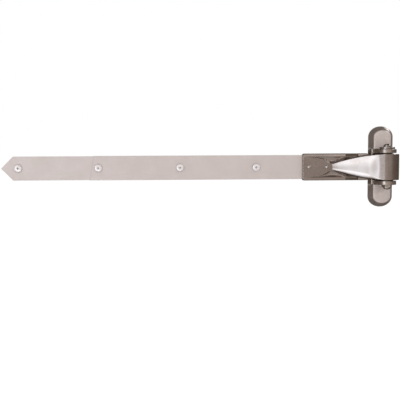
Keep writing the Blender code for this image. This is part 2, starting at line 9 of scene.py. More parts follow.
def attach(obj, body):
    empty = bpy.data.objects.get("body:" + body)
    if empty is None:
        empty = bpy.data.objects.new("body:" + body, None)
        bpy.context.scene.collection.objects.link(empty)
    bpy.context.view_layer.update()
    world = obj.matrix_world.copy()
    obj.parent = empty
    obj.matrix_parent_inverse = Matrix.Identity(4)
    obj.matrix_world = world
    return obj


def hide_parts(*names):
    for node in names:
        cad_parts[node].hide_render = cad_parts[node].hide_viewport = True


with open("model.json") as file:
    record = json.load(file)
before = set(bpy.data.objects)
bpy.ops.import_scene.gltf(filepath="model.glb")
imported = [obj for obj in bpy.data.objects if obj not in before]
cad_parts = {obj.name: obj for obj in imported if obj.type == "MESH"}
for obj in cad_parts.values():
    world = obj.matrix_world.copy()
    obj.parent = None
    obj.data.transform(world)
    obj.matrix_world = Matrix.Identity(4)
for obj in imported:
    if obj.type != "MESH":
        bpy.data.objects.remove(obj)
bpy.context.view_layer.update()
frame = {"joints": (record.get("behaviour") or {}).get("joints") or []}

# The studio: the closed hinge hangs level in a white room, above a pale floor, with its camera
# to the left of the post. The picture is 400 pixels wide and high.
scene = bpy.context.scene
scene.view_settings.view_transform = "Standard"
mm = 0.001
camera_place = Vector((-0.3494, -1.0838, 0.0182))
camera_yaw = math.radians(2.59)
camera_pitch = math.radians(-3.78)
camera_roll = math.radians(-0.27)
focal_pixels = 658.5
picture_pixels = 400.0
sensor_width = 36.0

forward = Vector((
    math.sin(camera_yaw) * math.cos(camera_pitch),
    math.cos(camera_yaw) * math.cos(camera_pitch),
    math.sin(camera_pitch),
))
level_right = Vector((math.cos(camera_yaw), -math.sin(camera_yaw), 0.0))
level_up = level_right.cross(forward)
rolled_right = level_right * math.cos(camera_roll) + level_up * math.sin(camera_roll)
rolled_up = level_up * math.cos(camera_roll) - level_right * math.sin(camera_roll)
camera_data = bpy.data.cameras.new("photo_camera")
camera_data.sensor_width = sensor_width
camera_data.lens = sensor_width * focal_pixels / picture_pixels
camera = bpy.data.objects.new("photo_camera", camera_data)
scene.collection.objects.link(camera)
turn = Matrix((rolled_right, rolled_up, -forward)).transposed().to_4x4()
camera.matrix_world = Matrix.Translation(camera_place) @ turn
scene.camera = camera


def math_step(tree, operation, *values):
    """One sum on its amounts, each a socket or a plain number."""
    node = tree.nodes.new("ShaderNodeMath")
    node.operation = operation
    for socket, value in zip(node.inputs, values):
        if isinstance(value, bpy.types.NodeSocket):
            tree.links.new(value, socket)
        else:
            socket.default_value = value
    return node.outputs[0]


def seen_directly(tree):
    """One for what the camera sees, straight or in a reflection or through glass, else nought."""
    path = tree.nodes.new("ShaderNodeLightPath")
    total = path.outputs["Is Camera Ray"]
    for ray in ("Is Glossy Ray", "Is Transmission Ray"):
        total = math_step(tree, "ADD", total, path.outputs[ray])
    return total


def even_run(tree, value, start, end, low=0.0, high=1.0):
    """Goes from low to high as the value goes from start to end, and stays level beyond them."""
    node = tree.nodes.new("ShaderNodeMapRange")
    for name, number in (("From Min", start), ("From Max", end), ("To Min", low), ("To Max", high)):
        node.inputs[name].default_value = number
    tree.links.new(value, node.inputs["Value"])
    return node.outputs[0]


room_light = 0.75
world = bpy.data.worlds.new("white_room")
scene.world = world
world.use_nodes = True
sky = world.node_tree.nodes["Background"]
sky.inputs["Color"].default_value = (1.0, 1.0, 1.0, 1.0)
sky_level = even_run(world.node_tree, seen_directly(world.node_tree), 0, 1, room_light, 1.0)
world.node_tree.links.new(sky_level, sky.inputs["Strength"])


def soft_lamp(name, azimuth, distance, rise, size, radiance, aim, mirrored):
    """A soft lamp turned to a point; azimuth 0 is straight in front of it and plus is to the left.
    One that isn't mirrored lights the metal but doesn't show in it."""
    a = math.radians(azimuth)
    data = bpy.data.lights.new(name, "AREA")
    data.shape = "RECTANGLE"
    data.size, data.size_y = size
    data.energy = radiance * math.pi * size[0] * size[1]
    lamp = bpy.data.objects.new(name, data)
    scene.collection.objects.link(lamp)
    lamp.location = aim + Vector((-math.sin(a) * distance, -math.cos(a) * distance, rise))
    lamp.rotation_euler = (aim - lamp.location).to_track_quat("-Z", "Y").to_euler()
    lamp.visible_glossy = mirrored


soft_lamp("tall_left_lamp", 51.0, 2.1, 0.0, (0.66, 1.7), 0.8, Vector((-0.05, -0.04, 0.93)), False)
soft_lamp("front_lamp", -8.0, 2.0, 0.9, (1.3, 1.2), 0.9, Vector((-0.05, 0, 0)), False)
soft_lamp("high_right_lamp", -74.0, 1.2, 0.85, (0.55, 0.55), 3.6, Vector((-0.05, 0, 0)), True)
soft_lamp("back_right_lamp", -142.0, 1.7, 0.9, (0.45, 0.45), 3.0, Vector((0, 0, 0.05)), True)


def staged(bm, name, material):
    mesh = bpy.data.meshes.new(name)
    bm.to_mesh(mesh)
    bm.free()
    mesh.materials.append(material)
    obj = bpy.data.objects.new(name, mesh)
    scene.collection.objects.link(obj)
    return obj


floor_height = -0.25
floor_reach = 12.0
floor_lift = 0.35
bm = bmesh.new()
bmesh.ops.create_grid(bm, x_segments=1, y_segments=1, size=floor_reach)
bmesh.ops.translate(bm, vec=(0, 0, floor_height), verts=bm.verts)
floor_paint = bpy.data.materials.new("floor_paint")
floor_paint.use_nodes = True
paint = floor_paint.node_tree.nodes["Principled BSDF"]
paint.inputs["Base Color"].default_value = (0.9, 0.9, 0.9, 1.0)
paint.inputs["Roughness"].default_value = 0.9
paint.inputs["Specular IOR Level"].default_value = 0.0
paint.inputs["Emission Color"].default_value = (1.0, 1.0, 1.0, 1.0)
tree = floor_paint.node_tree
lift = even_run(tree, seen_directly(tree), 0, 1, 0.0, floor_lift)
tree.links.new(lift, paint.inputs["Emission Strength"])
staged(bm, "floor", floor_paint)


# Grey cards stand all round the set, out of the picture, as a dome with a flat foot. Only the metal
# sees them. Brightness by azimuth (plus is to the left) and by height, both in degrees.
card_reach = 2.6
card_foot = -0.24
card_top_shade = 2.0
card_top_rise = 1.4
card_shades = (
    (-180, 0.16), (-120, 0.15), (-88, 0.19), (-60, 0.22), (-35, 0.26), (-14, 0.36), (7, 0.38),
    (27, 0.56), (38, 0.7), (41, 0.95), (43, 1.6), (46, 1.95), (52, 1.95), (57, 1.5), (62, 1.0), (68, 0.4),
    (80, 0.2), (108, 0.12), (140, 0.14), (180, 0.16),
)
card_rises = (
    (-90, 0.3), (-60, 0.35), (-40, 0.5), (-20, 1.1), (-8, 1.3), (-1, 0.85), (8, 0.95), (20, 1.0),
    (30, 0.75), (42, 0.55), (65, 0.45), (90, 0.45),
)
lift_shades = ((-180, 0), (-45, 0), (-25, 1), (15, 1), (32, 0), (180, 0))
lift_rises = (
    (-90, 0.3), (-40, 0.3), (-25, 0.2), (-12, 0.1), (-5, 0.08), (3, 0.08), (9, 0.3), (14, 0.62),
    (20, 0.4), (26, 0), (90, 0),
)


def ramp(tree, amount, stops):
    """Runs an amount from nought to one through a row of (place, colour) stops."""
    node = tree.nodes.new("ShaderNodeValToRGB")
    elements = node.color_ramp.elements
    elements[0].position, elements[0].color = stops[0][0], (*stops[0][1], 1.0)
    elements[1].position, elements[1].color = stops[-1][0], (*stops[-1][1], 1.0)
    for place, colour in stops[1:-1]:
        elements.new(place).color = (*colour, 1.0)
    tree.links.new(amount, node.inputs["Fac"])
    return node.outputs["Color"]


def warm_grey(shade):
    """Darker cards are browner; the shade is a share of the brightest."""
    near_white = min(1.6, shade)
    tint = (1.0, 0.82 + 0.18 * near_white, 0.66 + 0.34 * near_white)
    return tuple(shade / card_top_shade * part for part in tint)


def grey_cards():
    bm = bmesh.new()
    bmesh.ops.create_uvsphere(bm, u_segments=96, v_segments=48, radius=card_reach)
    everything = bm.verts[:] + bm.edges[:] + bm.faces[:]
    foot = (0, 0, card_foot)
    bmesh.ops.bisect_plane(bm, geom=everything, plane_co=foot, plane_no=(0, 0, -1), clear_outer=True)
    bmesh.ops.holes_fill(bm, edges=[edge for edge in bm.edges if edge.is_boundary], sides=0)
    material = bpy.data.materials.new("card_paint")
    material.use_nodes = True
    material.cycles.emission_sampling = "NONE"
    tree = material.node_tree
    tree.nodes.clear()
    out = tree.nodes.new("ShaderNodeOutputMaterial")
    glow = tree.nodes.new("ShaderNodeEmission")
    where = tree.nodes.new("ShaderNodeTexCoord")
    split = tree.nodes.new("ShaderNodeSeparateXYZ")
    reach = tree.nodes.new("ShaderNodeVectorMath")
    reach.operation = "LENGTH"
    for node in (split, reach):
        tree.links.new(where.outputs["Object"], node.inputs[0])
    left = math_step(tree, "MULTIPLY", split.outputs[0], -1.0)
    front = math_step(tree, "MULTIPLY", split.outputs[1], -1.0)
    azimuth = math_step(tree, "MULTIPLY_ADD", math_step(tree, "ARCTAN2", left, front), 0.5 / math.pi, 0.5)
    height = math_step(tree, "DIVIDE", split.outputs[2], reach.outputs["Value"])
    height = math_step(tree, "MULTIPLY_ADD", math_step(tree, "ARCSINE", height), 1.0 / math.pi, 0.5)
    shades = [((angle + 180) / 360, warm_grey(shade)) for angle, shade in card_shades]
    rises = [((angle + 90) / 180, (rise / card_top_rise,) * 3) for angle, rise in card_rises]
    rise = math_step(tree, "MULTIPLY", ramp(tree, height, rises), card_top_shade * card_top_rise)
    tree.links.new(ramp(tree, azimuth, shades), glow.inputs["Color"])
    tree.links.new(rise, glow.inputs["Strength"])
    lift = tree.nodes.new("ShaderNodeEmission")
    shades = [((angle + 180) / 360, (shade,) * 3) for angle, shade in lift_shades]
    rises = [((angle + 90) / 180, (rise,) * 3) for angle, rise in lift_rises]
    tree.links.new(ramp(tree, azimuth, shades), lift.inputs["Color"])
    tree.links.new(ramp(tree, height, rises), lift.inputs["Strength"])
    both = tree.nodes.new("ShaderNodeAddShader")
    tree.links.new(glow.outputs[0], both.inputs[0])
    tree.links.new(lift.outputs[0], both.inputs[1])
    tree.links.new(both.outputs[0], out.inputs[0])
    cards = staged(bm, "grey_cards", material)
    cards.visible_camera = False
    cards.visible_diffuse = False
    cards.visible_shadow = False


grey_cards()

# Post bracket: one zinc-alloy casting, an oval base with a thicker block across its middle and
# two ears that carry the pin. It is tumbled and nickel plated, and four screws fix it to the post.
pin_place = Vector(frame["joints"][0]["pos_m"])
gap = 0.3 * mm
bracket_width = 41.3 * mm
bracket_height = 133.4 * mm
end_rise = 17.3 * mm
side_draft = math.radians(27.0)
cover_wall = 1.8 * mm
base_thickness = 4.0 * mm
base_inset = (cover_wall + gap) / math.cos(side_draft)
block_depth = 8.0 * mm
block_half = 29.05 * mm
block_edge = 1.0 * mm
ear_inner = 22.35 * mm
ear_thickness = 6.2 * mm
ear_outer = ear_inner + ear_thickness
ear_radius = 14.5 * mm
ear_fillet = 1.9 * mm
ear_edge = 2.4 * mm
pin_diameter = 9.5 * mm
bracket_screw_heights = [39.1 * mm, 54.7 * mm, -39.1 * mm, -54.7 * mm]
screw_shank = 6.3 * mm
past = 2.0 * mm


def arc(centre, radius, start, end, count):
    """Points of a round stretch from one angle to another, ends included."""
    angles = [start + (end - start) * i / count for i in range(count + 1)]
    return [(centre[0] + radius * math.cos(a), centre[1] + radius * math.sin(a)) for a in angles]


def oval_end(inset, count=40):
    """The rounded upper end of the oval, from its right side over the top, set in evenly."""
    half = bracket_width / 2
    spring = bracket_height / 2 - end_rise
    points = []
    for i in range(count + 1):
        across, up = math.cos(math.pi * i / count), math.sin(math.pi * i / count)
        slope = math.hypot(end_rise * across, half * up)
        x = half * across - inset * end_rise * across / slope
        points.append((x, spring + end_rise * up - inset * half * up / slope))
    return points


def risen(outline, steps):
    """A solid that stands on an outline in XZ and rises to the front: each step is (in, forward)."""
    bm = bmesh.new()
    face = bm.faces.new([bm.verts.new((x, 0.0, z)) for x, z in outline])
    face.normal_update()
    if face.normal.y > 0:
        face.normal_flip()
    for inwards, forwards in steps:
        bmesh.ops.inset_region(
            bm, faces=[face], thickness=inwards, depth=forwards, use_boundary=True, use_even_offset=True
        )
    return bm


def closed(bm):
    rims = [edge for edge in bm.edges if edge.is_boundary]
    bmesh.ops.holes_fill(bm, edges=rims, sides=0)
    return bm


def softened(bm, edges, radius, segments):
    bmesh.ops.bevel(
        bm, geom=edges, offset=radius, segments=segments, profile=0.5, affect="EDGES",
        clamp_overlap=True, material=-1,
    )


def pushed(bm, points, vec):
    """Makes a face of the points and pushes it out into a solid; gives its far end's vertices."""
    face = bm.faces.new([bm.verts.new(point) for point in points])
    drawn = bmesh.ops.extrude_face_region(bm, geom=[face])["geom"]
    far = [item for item in drawn if isinstance(item, bmesh.types.BMVert)]
    bmesh.ops.translate(bm, vec=vec, verts=far)
    return far


def moved(bm, vec, angle=0.0, axis="X"):
    """Turns a shape about an axis through the origin, then shifts it."""
    bmesh.ops.rotate(bm, cent=(0, 0, 0), matrix=Matrix.Rotation(angle, 3, axis), verts=bm.verts)
    bmesh.ops.translate(bm, vec=vec, verts=bm.verts)
    return bm


def piece_of(bm, name, smooth_angle=38.0):
    """Welds a mesh, turns its faces outwards and puts it in the scene, smooth between its edges."""
    bmesh.ops.remove_doubles(bm, verts=bm.verts, dist=1e-7)
    bmesh.ops.recalc_face_normals(bm, faces=bm.faces)
    mesh = bpy.data.meshes.new(name)
    bm.to_mesh(mesh)
    bm.free()
    mesh.shade_smooth()
    mesh.set_sharp_from_angle(angle=math.radians(smooth_angle))
    piece = bpy.data.objects.new(name, mesh)
    scene.collection.objects.link(piece)
    return piece


def worked(piece, tools, operation="DIFFERENCE", smooth_angle=38.0):
    """Cuts the tools out of the piece or joins them to it, and clears them away."""
    for tool in tools:
        step = piece.modifiers.new(tool.name, "BOOLEAN")
        step.operation = operation
        step.object = tool
        step.solver = "EXACT"
    bpy.context.view_layer.update()
    graph = bpy.context.evaluated_depsgraph_get()
    mesh = bpy.data.meshes.new_from_object(piece.evaluated_get(graph))
    piece.modifiers.clear()
    old = piece.data
    piece.data = mesh
    bpy.data.meshes.remove(old)
    mesh.name = piece.name
    for tool in tools:
        data = tool.data
        bpy.data.objects.remove(tool, do_unlink=True)
        bpy.data.meshes.remove(data)
    mesh.shade_smooth()
    mesh.set_sharp_from_angle(angle=math.radians(smooth_angle))
    return piece


def even_shading(piece):
    shading = piece.modifiers.new("even_shading", "WEIGHTED_NORMAL")
    shading.keep_sharp = True


def drill(diameter, place, reach, axis="Y", steps=48):
    """A round cutter along Y or Z, from one end of its reach to the other."""
    bm = bmesh.new()
    radius, near, far = diameter / 2, *reach
    bmesh.ops.create_cone(
        bm, cap_ends=True, segments=steps, radius1=radius, radius2=radius, depth=far - near
    )
    moved(bm, (0, 0, (near + far) / 2))
    return piece_of(moved(bm, place, -math.pi / 2 if axis == "Y" else 0.0), "drill")


def post_bracket():
    end = oval_end(base_inset)
    outline = end + [(-x, -z) for x, z in end]
    base = risen(outline, [(base_thickness * math.tan(side_draft), base_thickness)])
    bracket = piece_of(closed(base), "post_bracket_piece")

    half = bracket_width / 2
    corners = [(half, -block_half), (half, block_half), (-half, block_half), (-half, -block_half)]
    middle = bmesh.new()
    front = pushed(middle, [(x, 0.0, z) for x, z in corners], (0, -block_depth, 0))
    draw_in = 1 - block_depth * math.tan(side_draft) / half
    bmesh.ops.scale(middle, vec=(draw_in, 1, 1), verts=front)
    long_edges = [
        edge for edge in middle.edges
        if all(vert.co.y < -block_depth / 2 for vert in edge.verts)
        and abs(edge.verts[0].co.z - edge.verts[1].co.z) > block_half
    ]
    softened(middle, long_edges, block_edge, 6)
    parts = [piece_of(middle, "middle")]

    root = -block_depth
    inside = root + block_depth / 2
    fillet = arc((ear_radius + ear_fillet, root - ear_fillet), ear_fillet, math.pi / 2, math.pi, 10)
    right = [(ear_radius + ear_fillet, inside)] + fillet
    nose = arc((0, pin_place.y), ear_radius, 0, -math.pi, 56)
    left = [(-x, y) for x, y in reversed(right)]
    for side in (1, -1):
        ear = bmesh.new()
        outline = [(x, y, side * ear_inner) for x, y in right + nose + left]
        pushed(ear, outline, (0, 0, side * ear_thickness))
        rims = [
            edge for edge in ear.edges
            if abs(edge.verts[0].co.z - edge.verts[1].co.z) < gap
            and max(vert.co.y for vert in edge.verts) < root - ear_fillet
        ]
        softened(ear, rims, ear_edge, 9)
        parts.append(piece_of(ear, "ear"))
    worked(bracket, parts, "UNION")

    through = ear_outer + past
    holes = [drill(pin_diameter + 2 * gap, (0, pin_place.y, 0), (-through, through), "Z")]
    for height in bracket_screw_heights:
        holes.append(drill(screw_shank + 2 * gap, (0, 0, height), (-base_thickness - past, past)))
    worked(bracket, holes)
    even_shading(bracket)
    return bracket


bracket = post_bracket()
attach(bracket, "post_side")
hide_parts("post_bracket")


def metal(name, metallic=1.0):
    """A plain metal to put a finish on, and its nodes."""
    material = bpy.data.materials.new(name)
    material.use_nodes = True
    material.node_tree.nodes["Principled BSDF"].inputs["Metallic"].default_value = metallic
    return material, material.node_tree


def on_piece(tree, scale, place):
    """The piece's own coordinates, scaled and then shifted."""
    where = tree.nodes.new("ShaderNodeTexCoord")
    fit = tree.nodes.new("ShaderNodeMapping")
    fit.inputs["Scale"].default_value = scale
    fit.inputs["Location"].default_value = place
    tree.links.new(where.outputs["Object"], fit.inputs["Vector"])
    return fit.outputs["Vector"]


def cloud(tree, size, low, high, detail=3.0, stretch=(1, 1, 1), place=(0, 0, 0), sharp=1.0):
    """Soft patches of about this size that run between two levels, fixed to the piece."""
    noise = tree.nodes.new("ShaderNodeTexNoise")
    noise.inputs["Scale"].default_value = 1 / size
    noise.inputs["Detail"].default_value = detail
    tree.links.new(on_piece(tree, [1 / part for part in stretch], place), noise.inputs["Vector"])
    spread = 0.22 / sharp
    return even_run(tree, noise.outputs["Fac"], 0.5 - spread, 0.5 + spread, low, high)


def near_edges(tree, reach):
    """One on the piece's edges and corners, falling to nought within the reach: the mask the finishes use
    for painted highlights and painted shade along edges.
    """
    rounded = tree.nodes.new("ShaderNodeBevel")
    rounded.samples = 6
    rounded.inputs["Radius"].default_value = reach
    plain = tree.nodes.new("ShaderNodeNewGeometry")
    alike = tree.nodes.new("ShaderNodeVectorMath")
    alike.operation = "DOT_PRODUCT"
    tree.links.new(rounded.outputs[0], alike.inputs[0])
    tree.links.new(plain.outputs["Normal"], alike.inputs[1])
    return even_run(tree, alike.outputs["Value"], 0.99, 0.86)


def painted_corner_shade(tree, reach):
    """One deep in the piece's hollows and seams, falling to nought in the open: the mask the finishes use
    for painted shade.
    """
    open_sky = tree.nodes.new("ShaderNodeAmbientOcclusion")
    open_sky.samples = 6
    open_sky.inputs["Distance"].default_value = reach
    return even_run(tree, open_sky.outputs["AO"], 0.75, 0.25)


def blend(tree, amount, first, second):
    """Mixes two colours, each a socket or three plain numbers, by an amount."""
    node = tree.nodes.new("ShaderNodeMix")
    node.data_type = "RGBA"
    tree.links.new(amount, node.inputs["Factor"])
    for socket, colour in ((node.inputs[6], first), (node.inputs[7], second)):
        if isinstance(colour, bpy.types.NodeSocket):
            tree.links.new(colour, socket)
        else:
            socket.default_value = (*colour, 1.0)
    return node.outputs[2]


def finished(material, tone, coats, roughness, bumps):
    """Lays each (amount, colour) coat over the tone in turn, then sets the roughness and raises the
    surface by each (height in metres, amount) bump."""
    tree = material.node_tree
    shader = tree.nodes["Principled BSDF"]
    for amount, colour in coats:
        tone = blend(tree, amount, tone, colour)
    tree.links.new(tone, shader.inputs["Base Color"])
    tree.links.new(roughness, shader.inputs["Roughness"])
    normal = None
    for height, amount in bumps:
        bump = tree.nodes.new("ShaderNodeBump")
        bump.inputs["Strength"].default_value = 1.0
        bump.inputs["Distance"].default_value = height
        tree.links.new(amount, bump.inputs["Height"])
        if normal:
            tree.links.new(normal, bump.inputs["Normal"])
        normal = bump.outputs["Normal"]
    tree.links.new(normal, shader.inputs["Normal"])
    return material


def bracket_finish():
    """Nickel over a casting that was only tumbled: satin, with painted shade in its corners and painted
    highlights on its edges.
    """
    material, tree = metal("bracket_nickel")
    tone = blend(tree, cloud(tree, 14 * mm, 0, 1), (0.48, 0.41, 0.375), (0.57, 0.495, 0.46))
    # Painted shade darkens the hollows; painted highlights lighten the edges.
    coats = (
        (painted_corner_shade(tree, 3 * mm), (0.16, 0.12, 0.10)),
        (near_edges(tree, 1.4 * mm), (0.78, 0.72, 0.69)),
    )
    bumps = ((0.03 * mm, cloud(tree, 5 * mm, 0, 1, 1)), (0.004 * mm, cloud(tree, 0.35 * mm, 0, 1)))
    return finished(material, tone, coats, cloud(tree, 3 * mm, 0.24, 0.36), bumps)


bracket.data.materials.append(bracket_finish())

# Covers: two zinc-alloy shells, one over each pair of bracket screws. They are bead blasted, satin
# nickel plated and pushed over the base until they snap on; their sides have a strong draft.
cover_depth = 12.7 * mm
cover_edge = 2.4 * mm
cover_crown = 0.25 * mm
weld = 0.001 * mm


def drafted_steps(depth, edge, segments):
    """Rises with the side's draft, then rolls over a rounded edge on to the front."""
    roll = math.pi / 2 - side_draft
    radius = edge / math.tan(roll / 2)
    straight = depth - radius * (1 - math.sin(side_draft))
    steps = [(straight * math.tan(side_draft), straight)]
    for i in range(segments):
        a = side_draft + roll * i / segments
        b = side_draft + roll * (i + 1) / segments
        steps.append((radius * (math.cos(a) - math.cos(b)), radius * (math.sin(b) - math.sin(a))))
    return steps


def block(name, low, high):
    """A square cutter from corner to corner."""
    bm = bmesh.new()
    bmesh.ops.create_cube(bm, size=1.0)
    bmesh.ops.scale(bm, vec=Vector(high) - Vector(low), verts=bm.verts)
    return piece_of(moved(bm, (Vector(high) + Vector(low)) / 2), name)


def cover_shell(name, side):
    start = block_half + gap
    upper = oval_end(0.0)
    lower = [(x, 2 * start - z) for x, z in reversed(upper)]
    crown = [(0.8 * mm, cover_crown * share) for share in (0.45, 0.28, 0.17, 0.10)]
    shell = risen(upper + lower, drafted_steps(cover_depth - cover_crown, cover_edge, 10) + crown)
    bmesh.ops.bisect_plane(
        shell, geom=shell.verts[:] + shell.edges[:] + shell.faces[:],
        plane_co=(0, 0, start), plane_no=(0, 0, -1), clear_outer=True,
    )
    on_cut = [vert for vert in shell.verts if abs(vert.co.z - start) < weld]
    sill = [edge for edge in shell.edges if edge.is_boundary and set(edge.verts) <= set(on_cut)]
    sill.append(shell.edges.new([vert for vert in on_cut if abs(vert.co.y) < weld]))
    bmesh.ops.contextual_create(shell, geom=sill)
    moved(shell, (0, -gap, 0))
    if side < 0:
        moved(shell, (0, 0, 0), math.pi, "Y")
    cover = piece_of(shell, name)
    wall = cover.modifiers.new("wall", "SOLIDIFY")
    wall.thickness = cover_wall
    wall.offset = -1
    wall.use_even_offset = True

    slot_half = bracket_width / 2 - base_inset + gap
    low, high = sorted((side * (start - past), side * (start + cover_wall + gap)))
    worked(cover, [block("slot", (-slot_half, -base_thickness - gap, low), (slot_half, past, high))])
    even_shading(cover)
    return cover


def parts_of(tree, kind):
    """The three parts of one of the piece's own coordinates."""
    where = tree.nodes.new("ShaderNodeTexCoord")
    split = tree.nodes.new("ShaderNodeSeparateXYZ")
    tree.links.new(where.outputs[kind], split.inputs[0])
    return split.outputs


def cover_finish():
    """Nickel: the front has a sparkling bead-blast grain, the sides are drawn; the front's much lighter
    colour and the sides' darker one are painted light and shade, set by which way each face turns. Painted
    highlights lie on the edges, painted shade in the hollows.
    """
    material, tree = metal("cover_nickel", 0.64)
    # Painted light and shade: faces turned to the front take the light front colour, the rest the dark side
    # colour; the same mask also makes the front rougher, as its bead-blast grain.
    blasted_and_lit = even_run(tree, parts_of(tree, "Normal")[1], -0.78, -0.97)
    speckle = cloud(tree, 0.9 * mm, 0, 1, 4, sharp=1.6)
    front = blend(tree, speckle, (0.78, 0.685, 0.66), (0.97, 0.88, 0.855))
    sides = blend(tree, cloud(tree, 8 * mm, 0, 1), (0.33, 0.265, 0.235), (0.40, 0.33, 0.30))
    # The edge mask lays a painted highlight along the edges, the corner mask painted shade in the hollows.
    coats = (
        (blasted_and_lit, front),
        (cloud(tree, 12 * mm, 0, 0.25), (0.46, 0.38, 0.35)),
        (near_edges(tree, 2.2 * mm), (0.84, 0.76, 0.74)),
        (painted_corner_shade(tree, 2.5 * mm), (0.17, 0.13, 0.11)),
    )
    rough = math_step(tree, "MULTIPLY_ADD", blasted_and_lit, 0.20, cloud(tree, 1.2 * mm, 0.24, 0.34))
    bumps = ((0.035 * mm, cloud(tree, 1.6 * mm, 0, 1, 2)), (0.012 * mm, cloud(tree, 0.3 * mm, 0, 1)))
    return finished(material, sides, coats, rough, bumps)


cover_paint = cover_finish()
for name, side in (("upper_cover", 1), ("lower_cover", -1)):
    cover = cover_shell(name + "_piece", side)
    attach(cover, "post_side")
    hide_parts(name)
    cover.data.materials.append(cover_paint)

# Bracket screws: four zinc-plated steel wood screws under the covers, with a low domed head and a
# cross recess. Each passes through a plain hole in the base and pulls it on to the post.
screw_head = 12.5 * mm
screw_head_height = 3.6 * mm
screw_head_rim = 1.6 * mm
bracket_screw_length = 38.0 * mm
screw_point = 6.0 * mm
head_edge = 0.3 * mm
thread_pitch = 2.4 * mm
thread_depth = 0.75 * mm
thread_rows = 9
screw_shading_angle = 50.0
recess_arm = 4.8 * mm
recess_width = 1.1 * mm
recess_depth = 1.6 * mm
recess_taper = 0.62


def turned(profile, steps, ring=False):
    """A profile of (radius, height) points turned about Z; one that is a ring has a hole."""
    bm = bmesh.new()
    points = [bm.verts.new((radius, 0.0, height)) for radius, height in profile]
    edges = [bm.edges.new(pair) for pair in zip(points, points[1:])]
    if ring:
        edges.append(bm.edges.new((points[-1], points[0])))
    bmesh.ops.spin(
        bm, geom=points + edges, cent=(0, 0, 0), axis=(0, 0, 1), angle=2 * math.pi,
        steps=steps, use_merge=True,
    )
    bmesh.ops.remove_doubles(bm, verts=bm.verts, dist=1e-7)
    return bm


def domed(radius, base, height, count, fullness=2.0):
    """Points of a rounded top from the middle to the rim; more fullness makes it flatter."""
    points = []
    for i in range(count + 1):
        share = math.sin(math.pi / 2 * i / count)
        points.append((radius * share, base + height * (1 - share**fullness) ** (1 / 2)))
    return points


def facing_front(bm, place):
    """Turns what stood up along Z to face the front, and puts it in its place."""
    return moved(bm, place, math.pi / 2)


def wood_screw(name, place, head, head_height, rim, length):
    shank = screw_shank / 2
    core = shank - thread_depth
    thread_top = -length * 0.28
    rows = int((length + thread_top) / thread_pitch * thread_rows)
    profile = domed(head / 2, rim, head_height - rim, 14, 3.4)
    profile += arc((head / 2 - head_edge, head_edge), head_edge, 0, -math.pi / 2, 3)
    profile += [(core + 0.45 * mm, 0.0), (core + 0.30 * mm, -0.4 * mm), (core + 0.30 * mm, thread_top * 0.6)]
    profile += [(core, thread_top + (-length - thread_top) * i / rows) for i in range(rows)]
    profile.append((0.0, -length))
    bm = turned(profile, 28)
    for vert in bm.verts:
        height = vert.co.z
        radius = math.hypot(vert.co.x, vert.co.y)
        if height > thread_top * 0.8 or radius < 1e-6:
            continue
        turned_by = math.atan2(vert.co.y, vert.co.x) / (2 * math.pi)
        wave = 0.5 + 0.5 * math.cos(2 * math.pi * (height / thread_pitch + turned_by))
        point = min(1.0, (height + length) / screw_point)
        start = min(1.0, max(0.0, (thread_top - height) / thread_pitch))
        wanted = core * point**0.8 + thread_depth * wave**2.2 * start * min(1.0, 2 * point)
        vert.co.x *= wanted / radius
        vert.co.y *= wanted / radius
    screw = piece_of(facing_front(bm, place), name, screw_shading_angle)

    arm, wide = recess_arm / 2, recess_width / 2
    cross = [(arm, -wide), (arm, wide), (wide, wide), (wide, arm), (-wide, arm), (-wide, wide)]
    cross += [(-x, -y) for x, y in cross]
    recess = bmesh.new()
    floor = [(x, y, head_height - recess_depth) for x, y in cross]
    mouth = pushed(recess, floor, (0, 0, recess_depth + past))
    foot = [vert for vert in recess.verts if vert not in mouth]
    bmesh.ops.scale(recess, vec=(recess_taper, recess_taper, 1), verts=foot)
    recess = piece_of(facing_front(recess, place), "recess")
    worked(screw, [recess], smooth_angle=screw_shading_angle)
    return screw


def turning_marks(tree, axis, centre, pitch):
    """Fine rings about an axis, as a lathe or a heading die leaves them."""
    rings = tree.nodes.new("ShaderNodeTexWave")
    rings.wave_type = "RINGS"
    rings.rings_direction = axis
    rings.inputs["Scale"].default_value = 0.314 / pitch
    rings.inputs["Distortion"].default_value = 0.6
    tree.links.new(on_piece(tree, (1, 1, 1), [-part for part in centre]), rings.inputs["Vector"])
    return rings.outputs["Fac"]


def screw_finish(name, place):
    """Bright zinc plate: nearly white, with faint straw and blue tints and drawn rings, painted shade round
    the head's foot and in the recess, and painted highlights on its edges.
    """
    material, tree = metal(name + "_zinc", 0.35)
    tone = blend(tree, cloud(tree, 2.5 * mm, 0, 1, place=place), (0.96, 0.89, 0.87), (0.93, 0.90, 0.92))
    # Painted shade darkens the head's rim, its foot and the recess; painted highlights lighten the edges.
    coats = (
        (painted_corner_shade(tree, 3 * mm), (0.20, 0.155, 0.14)),
        (near_edges(tree, 0.25 * mm), (0.97, 0.94, 0.93)),
    )
    rings, grain = turning_marks(tree, "Y", place, 0.3 * mm), cloud(tree, 0.3 * mm, 0, 1)
    bumps = ((0.004 * mm, rings), (0.004 * mm, grain))
    return finished(material, tone, coats, cloud(tree, 1.4 * mm, 0.20, 0.34, place=place), bumps)


for number, height in enumerate(bracket_screw_heights, 1):
    seat = Vector((0, -base_thickness - gap, height))
    screw_sizes = (screw_head, screw_head_height, screw_head_rim, bracket_screw_length)
    screw = wood_screw(f"bracket_screw_{number}_piece", seat, *screw_sizes)
    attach(screw, "post_side")
    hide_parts(f"bracket_screw_{number}")
    screw.data.materials.append(screw_finish(f"bracket_screw_{number}", seat))

